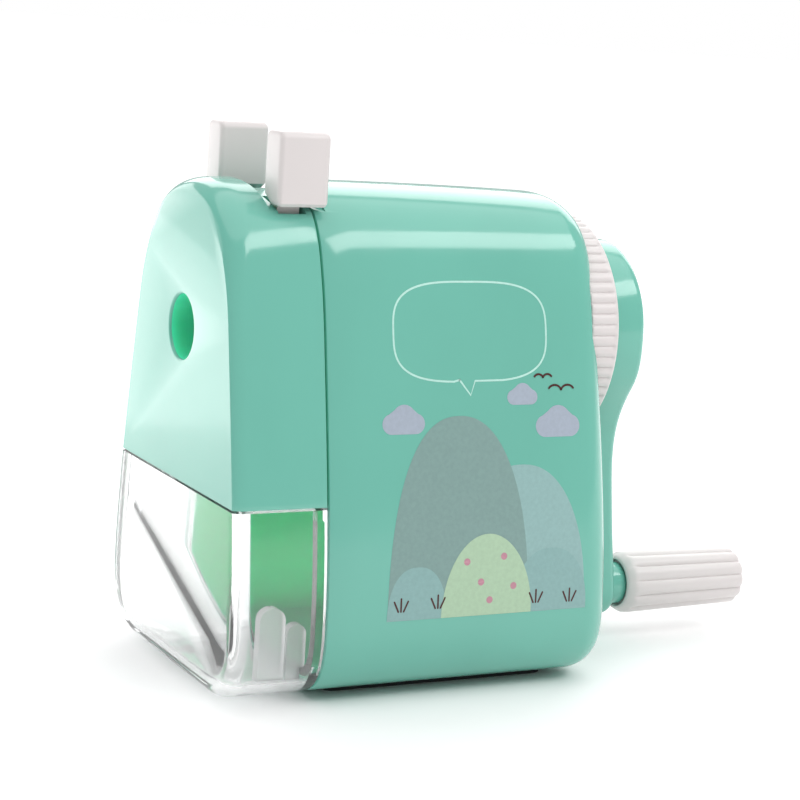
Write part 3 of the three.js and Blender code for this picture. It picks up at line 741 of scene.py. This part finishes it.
def build_ring():
    face_rear = ring_high.y

    def ribbed(r, y, a):
        if r < RING_R - 1.2:
            return r
        phase = abs(math.cos(RIBS * a / 2))
        share = min(1.0, (r - (RING_R - 1.2)) / 0.8)
        share *= step_between(face_rear - y, 0.35, 1.1)
        return r - RIB_DEPTH * share * (1 - phase ** 0.7)

    profile = [(RING_R - 2.0, RING_FRONT)]
    profile += [(RING_R - 0.35 * u, RING_FRONT + 0.35 * v) for u, v in quarter(4)]
    profile += [(RING_R, face_rear - 1.2), (RING_R, face_rear - 0.9)]
    profile += [(RING_R - 0.5 * v, face_rear - 0.5 * u) for u, v in quarter(6)]
    profile += [(RING_R - 1.3, face_rear), (RING_R - 2.2, face_rear), (RING_R - 2.6, face_rear - 0.35),
                (13.6, face_rear - 0.35), (13.3, face_rear - 0.5)]
    ring = turned("lock_ring_skin", profile, segments=RIBS * 12, radius_at=ribbed)
    skirt = turned("skirt", [(SKIRT_R + 0.5, ring_low.y), (SKIRT_R + 0.5, RING_FRONT + 0.4)],
                   segments=128)
    cut(ring, skirt, "UNION")
    for a in (90, 210, 330):
        points = sector(LUG_R, a - 12, a + 12) + sector(SKIRT_R + 0.1, a + 12, a - 12)
        lug = loft("lug", [[(x, y, z) for x, z in points] for y in (ring_low.y, ring_low.y + 2.1)])
        cut(ring, lug, "UNION")
    cut(ring, turned("inside", [(SKIRT_R, ring_low.y - 2), (SKIRT_R, face_rear - 2.7)], segments=128))
    cut(ring, turned("hole", [(12.5, ring_low.y - 2), (12.5, face_rear + 2)], segments=128))
    return finish_piece(ring, "ring", WHITE, ["lock_ring"], 50)


# ---------- crank arm ----------
HUB_R = 16.0
HUB_FRONT = crank_low.y
HUB_REAR = HUB_FRONT + 8.3
END_R = 5.7
ARM_SWING = 0.1            # the arm leans to the rear by this share of its drop
FRONT_EDGE = 0.7           # rounding of the front and rear edges
REAR_EDGE = 1.7


def arm_half():
    """Right side of the crank seen from behind, from the top down: (x, z)."""
    points = []
    last = math.radians(-40)
    for i in range(25):
        a = math.pi / 2 + (last - math.pi / 2) * i / 24
        points.append(Vector((HUB_R * math.cos(a), AXIS_Z + HUB_R * math.sin(a))))
    p0 = points[-1]
    direction = Vector((math.sin(last), -math.cos(last)))
    knee = Vector((5.15, 32.0))
    first = (p0, p0 + direction * 7.0, Vector((5.25, 40.5)), knee)
    second = (knee, Vector((5.1, 26.0)), Vector((5.2, 18.0)), Vector((END_R * 0.985, KNOB_Z + 1.0)))
    points += [bezier(first, i / 14) for i in range(1, 15)]
    points += [bezier(second, i / 8) for i in range(1, 9)]
    for i in range(1, 13):
        a = math.radians(10 - 100 * i / 12)
        points.append(Vector((END_R * math.cos(a), KNOB_Z + END_R * math.sin(a))))
    points[0].x = 0.0
    points[-1].x = 0.0
    return [(p.x, p.y) for p in points]


def arm_faces(z):
    """Front and rear Y of the crank at height z."""
    swing = max(0.0, AXIS_Z - z) * ARM_SWING
    hub = step_between(z, 40.5, 50.5)
    front = hub * HUB_FRONT + (1 - hub) * (HUB_FRONT + 2.2 + swing)
    return front, HUB_REAR - 0.05 + swing * (1 - step_between(z, 52.0, 66.0))


def build_crank():
    half = arm_half()
    full = half + [(-x, z) for x, z in reversed(half[1:-1])]
    rings = []

    def add_ring(inset, depth, rear_side):
        ring = []
        for x, z in shrink(full, inset):
            front, rear = arm_faces(z)
            ring.append((x, rear - depth if rear_side else front + depth, z))
        rings.append(ring)

    for u, v in quarter(4):
        add_ring(FRONT_EDGE * u, FRONT_EDGE * v, False)
    for u, v in quarter(8):
        add_ring(REAR_EDGE * v, REAR_EDGE * u, True)
    count = len(full)
    verts = [v for ring in rings for v in ring]
    faces = side_faces(rings)
    # The ends are closed by strips from side to side, because they are not flat.
    for start in (0, (len(rings) - 1) * count):
        middle = len(half) - 1
        for i in range(middle):
            a, b = start + i, start + i + 1
            d = start + (count - i) % count
            c = start + count - i - 1
            faces.append(tuple(dict.fromkeys((a, b, c, d))))
    arm = face_out(make_object("crank_arm_skin", verts, faces))
    boss = rounded_profile(4.0, 4.0, HUB_REAR, crank_high.y, 0.1, 0.5)
    cut(arm, turned("boss", boss, 0, KNOB_Z, 64), "UNION")
    cut(arm, turned("shaft_bore", [(3.3, 30), (3.3, 43.5)], segments=48))
    cut(arm, turned("screw_bore", [(1.6, 40), (1.6, 60)], segments=32))
    cut(arm, turned("screw_seat", [(4.0, 44.8), (4.0, 46.0), (4.6, 46.6), (5.4, 48)], segments=64))
    cut(arm, turned("pin_bore", [(2.45, 50.5), (2.45, 70)], 0, KNOB_Z, 32))
    return finish_piece(arm, "crank", MINT, ["crank_arm"], 28)


# ---------- knob ----------
FLUTES = 12
FLUTE_DEPTH = 0.52
KNOB_R = 5.98


def build_knob():
    r0 = KNOB_R
    y0, y1 = knob_low.y, knob_high.y

    def fluted(r, y, a):
        valley = 1 - abs(math.cos(FLUTES * a / 2)) ** 0.65
        along = step_between(y, y0 + 0.9, y0 + 3.2)
        return r - FLUTE_DEPTH * valley * along if r > 4.5 else r

    profile = [(4.7, y0), (4.95, y0 + 0.08), (5.25, y0 + 0.45), (5.72, y0 + 1.25), (5.9, y0 + 1.7),
               (r0, y0 + 2.3), (r0 - 0.02, y0 + 3.3)]
    profile += [(r0 - 0.45 * i / 9, y0 + 3.3 + (y1 - y0 - 4.4) * i / 9) for i in range(1, 10)]
    profile += [(r0 - 0.6, y1 - 0.6), (r0 - 0.9, y1 - 0.2), (r0 - 1.3, y1)]
    knob = turned("crank_knob_skin", profile, 0, KNOB_Z, FLUTES * 16, fluted)
    cut(knob, turned("mouth", [(4.6, y0 - 1), (4.6, y0 + 0.1), (4.4, y0 + 0.3), (4.4, 55.2)],
                     0, KNOB_Z, 64))
    cut(knob, turned("bore", [(2.5, 50), (2.5, 90)], 0, KNOB_Z, 32))
    cut(knob, turned("head", [(4.0, 78.3), (4.0, y1 - 0.3), (4.3, y1 + 0.1), (4.3, 90)],
                     0, KNOB_Z, 64))
    return finish_piece(knob, "knob", WHITE, ["crank_knob"], 40)


# ---------- wire springs ----------
def build_spring(name, node, body, radius, wire, turns, along):
    """Round-wire coil in the place of the CAD spring."""
    low, high = box_mm(node)
    centre = (low + high) / 2
    axis = {"x": 0, "y": 1}[along]
    start, end = low[axis] + wire, high[axis] - wire
    rings = []
    steps, sides = turns * 28, 10
    for i in range(steps + 1):
        t = i / steps
        a = TAU * turns * t
        direction = Vector((math.cos(a), math.sin(a)))
        ring = []
        for k in range(sides):
            b = TAU * k / sides
            shift = start + (end - start) * t + wire * math.sin(b)
            u, v = direction * (radius + wire * math.cos(b))
            if axis == 1:
                ring.append((centre.x + u, shift, centre.z + v))
            else:
                ring.append((shift, centre.y + u, centre.z + v))
        rings.append(ring)
    spring = loft(name, rings)
    return finish_piece(spring, body, STEEL, [node], 60)


# ---------- printed picture ----------
def flat_patch(points, thickness_at, skin):
    """Thin film over the side of the body, inside a closed (y, z) outline."""
    bm = bmesh.new()
    verts = [bm.verts.new((0, y, z)) for y, z in points]
    bm.faces.new(verts)
    z_low = min(z for _, z in points)
    z_high = max(z for _, z in points)
    step = 1.2
    z = math.ceil(z_low / step) * step
    while z < z_high:
        geometry = bm.verts[:] + bm.edges[:] + bm.faces[:]
        bmesh.ops.bisect_plane(bm, geom=geometry, plane_co=(0, 0, z), plane_no=(0, 0, 1))
        z += step
    bmesh.ops.triangulate(bm, faces=[f for f in bm.faces if len(f.verts) > 4])
    for v in bm.verts:
        hit, normal, _, _ = skin.ray_cast(Vector((60, v.co.y, v.co.z)), Vector((-1, 0, 0)))
        v.co = hit + normal * thickness_at
    for f in bm.faces:
        f.normal_update()
        if f.normal.x < 0:
            f.normal_flip()
    return bm


def printed(name, shapes, layer, material, skin):
    """Joins several flat outlines of one ink into one piece."""
    joined = bmesh.new()
    for points in shapes:
        part = flat_patch(points, 0.012 * layer, skin)
        mesh = bpy.data.meshes.new("part")
        part.to_mesh(mesh)
        part.free()
        joined.from_mesh(mesh)
        bpy.data.meshes.remove(mesh)
    mesh = bpy.data.meshes.new(name)
    joined.to_mesh(mesh)
    joined.free()
    obj = bpy.data.objects.new(name, mesh)
    bpy.context.scene.collection.objects.link(obj)
    for polygon in mesh.polygons:
        polygon.use_smooth = True
    mesh.transform(Matrix.Scale(MM, 4))
    mesh.materials.append(material)
    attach(obj, "base")
    return obj


def stroke(path, width):
    """Outline of a line of that width with round ends, along (y, z) points."""
    line = [Vector(p) for p in path]
    left, right = [], []
    for i, p in enumerate(line):
        a = line[max(0, i - 1)]
        b = line[min(len(line) - 1, i + 1)]
        n = Vector((-(b - a).y, (b - a).x)).normalized() * width / 2
        left.append(p + n)
        right.append(p - n)
    ends = []
    for p, edge in ((line[-1], left[-1]), (line[0], right[0])):
        start = math.atan2((edge - p).y, (edge - p).x)
        ends.append([p + Vector((math.cos(start - math.pi * k / 6),
                                 math.sin(start - math.pi * k / 6))) * width / 2
                     for k in range(1, 6)])
    points = left + ends[0] + right[::-1] + ends[1]
    return [(p.x, p.y) for p in points]


def arc(cy, cz, ry, rz, a0, a1, count=24):
    """Points on an ellipse about (cy, cz), from angle a0 to a1 in degrees."""
    return [(cy + ry * math.cos(math.radians(a0 + (a1 - a0) * i / count)),
             cz + rz * math.sin(math.radians(a0 + (a1 - a0) * i / count)))
            for i in range(count + 1)]


def build_print(body):
    mesh = body.data
    skin = BVHTree.FromPolygons([v.co / MM for v in mesh.vertices],
                                [list(p.vertices) for p in mesh.polygons])
    slate = ink("ink_slate", (0.205, 0.325, 0.305))
    haze = ink("ink_haze", (0.27, 0.44, 0.43))
    shade = ink("ink_shade", (0.24, 0.41, 0.40))
    lime = ink("ink_lime", (0.40, 0.56, 0.39))
    lilac = ink("ink_lilac", (0.36, 0.41, 0.49))
    brown = ink("ink_brown", (0.06, 0.012, 0.01))
    pink = ink("ink_pink", (0.50, 0.24, 0.30))
    pale = ink("ink_pale", (0.46, 0.74, 0.66))

    # Two round hills behind a pale bush, low mounds, clouds, birds, grass and blossoms.
    foot = 14.6

    def mound(cy, half, height, power=2.3):
        points = [(cy - half, foot)]
        for i in range(1, 56):
            u = -math.cos(math.pi * i / 56)
            points.append((cy + half * u, foot + height * (1 - abs(u) ** power) ** (1 / power)))
        return points + [(cy + half, foot)]

    printed("print_back_hill", [mound(16.0, 13.0, 25.5)], 1, haze, skin)
    printed("print_hill", [mound(4.0, 13.5, 34.0)], 2, slate, skin)
    printed("print_low_hills", [mound(-4.0, 5.6, 9.0), mound(22.0, 7.4, 11.0)], 3, shade, skin)
    printed("print_bush", [mound(9.5, 8.8, 14.0, 2.0)], 4, lime, skin)
    clouds = []
    for cy, cz, size in ((-6.5, 47.5, 1.0), (23.5, 46.5, 1.1), (16.5, 51.5, 0.75)):
        clouds.append(arc(cy + 2.2 * size, cz, 1.7 * size, 1.7 * size, -90, 75, 14)
                      + arc(cy, cz + 0.9 * size, 2.3 * size, 2.3 * size, 40, 140, 14)
                      + arc(cy - 2.4 * size, cz, 1.7 * size, 1.7 * size, 105, 270, 14))
    printed("print_clouds", clouds, 2, lilac, skin)
    strokes = []
    for cy, cz, r in ((24.2, 52.4, 1.3), (20.6, 54.6, 0.9)):
        strokes.append(stroke(arc(cy - r, cz, r, r * 0.8, 15, 150, 16), 0.36))
        strokes.append(stroke(arc(cy + r, cz, r, r * 0.8, 30, 165, 16), 0.36))
    for cy, cz in ((-7.0, 16.2), (0.0, 16.4), (19.2, 16.2), (26.0, 16.0)):
        for k in (-1, 0, 1):
            strokes.append(stroke([(cy + k * 0.5, cz), (cy + k * 1.3, cz + 2.2 - abs(k) * 0.5)], 0.32))
    printed("print_strokes", strokes, 5, brown, skin)
    dots = [arc(cy, cz, 0.62, 0.62, 0, 342, 19) for cy, cz in
            ((5.4, 24.0), (8.2, 20.4), (12.6, 24.6), (14.6, 19.4), (10.0, 17.2))]
    printed("print_blossoms", dots, 5, pink, skin)

    # Empty bubble above the picture, drawn as an outline with a small tail.
    bubble = [(4.2, 54.6), (6.3, 52.0), (7.2, 54.4)]
    cy, cz, ry, rz, power = 6.6, 62.6, 14.8, 8.3, 0.62
    count = 96
    for i in range(3, count - 1):
        a = math.radians(-88) + TAU * i / count
        c, s = math.cos(a), math.sin(a)
        bubble.append((cy + ry * math.copysign(abs(c) ** power, c),
                       cz + rz * math.copysign(abs(s) ** power, s)))
    bubble.append(bubble[0])
    printed("print_bubble", [stroke(bubble, 0.34)], 2, pale, skin)


# ---------- build everything ----------
body_piece = build_body()
build_cover()
build_drawer()
for side_name, sign in (("left", -1), ("right", 1)):
    build_lever(side_name, sign)
    build_spring(f"return_spring_{side_name}_wire", f"return_spring_{side_name}", "base",
                 2.5, 0.36, 12, "y")
    build_spring(f"jaw_spring_{side_name}_wire", f"jaw_spring_{side_name}", "cover",
                 1.5, 0.26, 5, "x")
build_ring()
build_crank()
build_knob()
build_print(body_piece)

# Carried-over CAD nodes: finishes and softened edges.
node_slot = {p["node"]: p["material_slot"] for p in frame["record"]["subparts"]}
for node_name, node in frame["nodes"].items():
    node.data.materials.clear()
    node.data.materials.append(SLOT_LOOK[node_slot[node_name]])
for node_name in ("foot_pad", "inner_plate", "chip_deck", "rod_collar_left", "rod_collar_right"):
    bevel = frame["nodes"][node_name].modifiers.new("edge", "BEVEL")
    bevel.width = 0.25 * MM
    bevel.segments = 2
    bevel.limit_method = "ANGLE"
    bevel.angle_limit = math.radians(50)


# ---------- floor and light ----------
def build_floor():
    """Pale floor whose far parts glow a little, so that it runs into the white backdrop."""
    size = 30.0
    verts = [(-size, -size, 0), (size, -size, 0), (size, size, 0), (-size, size, 0)]
    floor = make_object("floor", verts, [(0, 1, 2, 3)])
    n = Nodes("floor_paper")
    grain = n.noise(60.0, 3.0, 0.6)
    n.link(n.ramp(grain, [(0.3, (0.93, 0.93, 0.93)), (0.7, (0.95, 0.95, 0.95))]),
           n.shader.inputs["Base Color"])
    n.shader.inputs["Roughness"].default_value = 0.5
    n.shader.inputs["Specular IOR Level"].default_value = 0.2
    n.shader.inputs["Emission Color"].default_value = (1, 1, 1, 1)
    distance = n.add("ShaderNodeVectorMath", operation="LENGTH")
    n.link(n.place, distance.inputs[0])
    glow = n.add("ShaderNodeMapRange", interpolation_type="SMOOTHSTEP")
    glow.inputs["From Min"].default_value = 0.3
    glow.inputs["From Max"].default_value = 0.9
    glow.inputs["To Max"].default_value = 0.3
    n.link(distance.outputs["Value"], glow.inputs["Value"])
    n.link(glow.outputs["Result"], n.shader.inputs["Emission Strength"])
    floor.data.materials.append(n.material)


def soft_box(name, place, target, size, radiance):
    """Rectangular lamp of even radiance, turned to the target and unseen by the camera."""
    data = bpy.data.lights.new(name, "AREA")
    data.shape = "RECTANGLE"
    data.size, data.size_y = size
    data.energy = radiance * math.pi * size[0] * size[1]
    obj = bpy.data.objects.new(name, data)
    bpy.context.scene.collection.objects.link(obj)
    obj.location = place
    obj.rotation_euler = (Vector(target) - Vector(place)).to_track_quat("-Z", "Y").to_euler()
    obj.visible_camera = False
    return obj


def build_light():
    world = bpy.data.worlds.new("studio")
    bpy.context.scene.world = world
    world.use_nodes = True
    tree = world.node_tree
    back = tree.nodes["Background"]
    back.inputs["Color"].default_value = (1, 1, 1, 1)
    # White to the camera, dimmer as a light.
    path = tree.nodes.new("ShaderNodeLightPath")
    level = tree.nodes.new("ShaderNodeMapRange")
    level.inputs["To Min"].default_value = 0.5
    level.inputs["To Max"].default_value = 1.0
    tree.links.new(path.outputs["Is Camera Ray"], level.inputs["Value"])
    tree.links.new(level.outputs["Result"], back.inputs["Strength"])
    centre = (0, 0, 0.045)
    soft_box("left_card", (-0.2, -0.12, 0.085), (0.0, -0.04, 0.05), (0.2, 0.18), 1.6)
    soft_box("front_card", (-0.16, -0.42, 0.14), (0.0, -0.04, 0.05), (0.2, 0.28), 1.0)
    soft_box("back_panel", (-0.5, 0.36, 0.42), centre, (0.8, 0.42), 2.2)
    soft_box("strip_box", (0.437, 0.341, 0.60), centre, (0.6, 0.2), 5.5)
    data = bpy.data.lights.new("ceiling", "SUN")
    data.energy = 0.48 * math.pi
    data.angle = math.radians(80)
    ceiling = bpy.data.objects.new("ceiling", data)
    bpy.context.scene.collection.objects.link(ceiling)


# ---------- camera ----------
AZIMUTH, ELEVATION, ROLL = (math.radians(a) for a in (62.52, 9.68, 3.67))
FOCAL_SHARE = 2.707        # focal length over image width
DISTANCE = 0.3873
AIM_HEIGHT = 0.043
AIM_RIGHT, AIM_UP = 0.00458, 0.00426


def build_camera():
    """Camera to the front right of the part, with the slight roll of a hand-held shot."""
    ca, sa = math.cos(AZIMUTH), math.sin(AZIMUTH)
    ce, se = math.cos(ELEVATION), math.sin(ELEVATION)
    forward = Vector((-sa * ce, ca * ce, -se))
    right0 = Vector((ca, sa, 0))
    up0 = right0.cross(forward)
    right = right0 * math.cos(ROLL) + up0 * math.sin(ROLL)
    up = -right0 * math.sin(ROLL) + up0 * math.cos(ROLL)
    aim = Vector((0, 0, AIM_HEIGHT)) + right0 * AIM_RIGHT + up0 * AIM_UP
    data = bpy.data.cameras.new("camera")
    data.sensor_width = 36.0
    data.lens = 36.0 * FOCAL_SHARE
    data.clip_start = 0.01
    camera = bpy.data.objects.new("camera", data)
    bpy.context.scene.collection.objects.link(camera)
    rotation = Matrix((right, up, -forward)).transposed()
    camera.matrix_world = Matrix.Translation(aim - forward * DISTANCE) @ rotation.to_4x4()
    bpy.context.scene.camera = camera


build_floor()
build_light()
build_camera()
bpy.context.scene.view_settings.view_transform = "Standard"
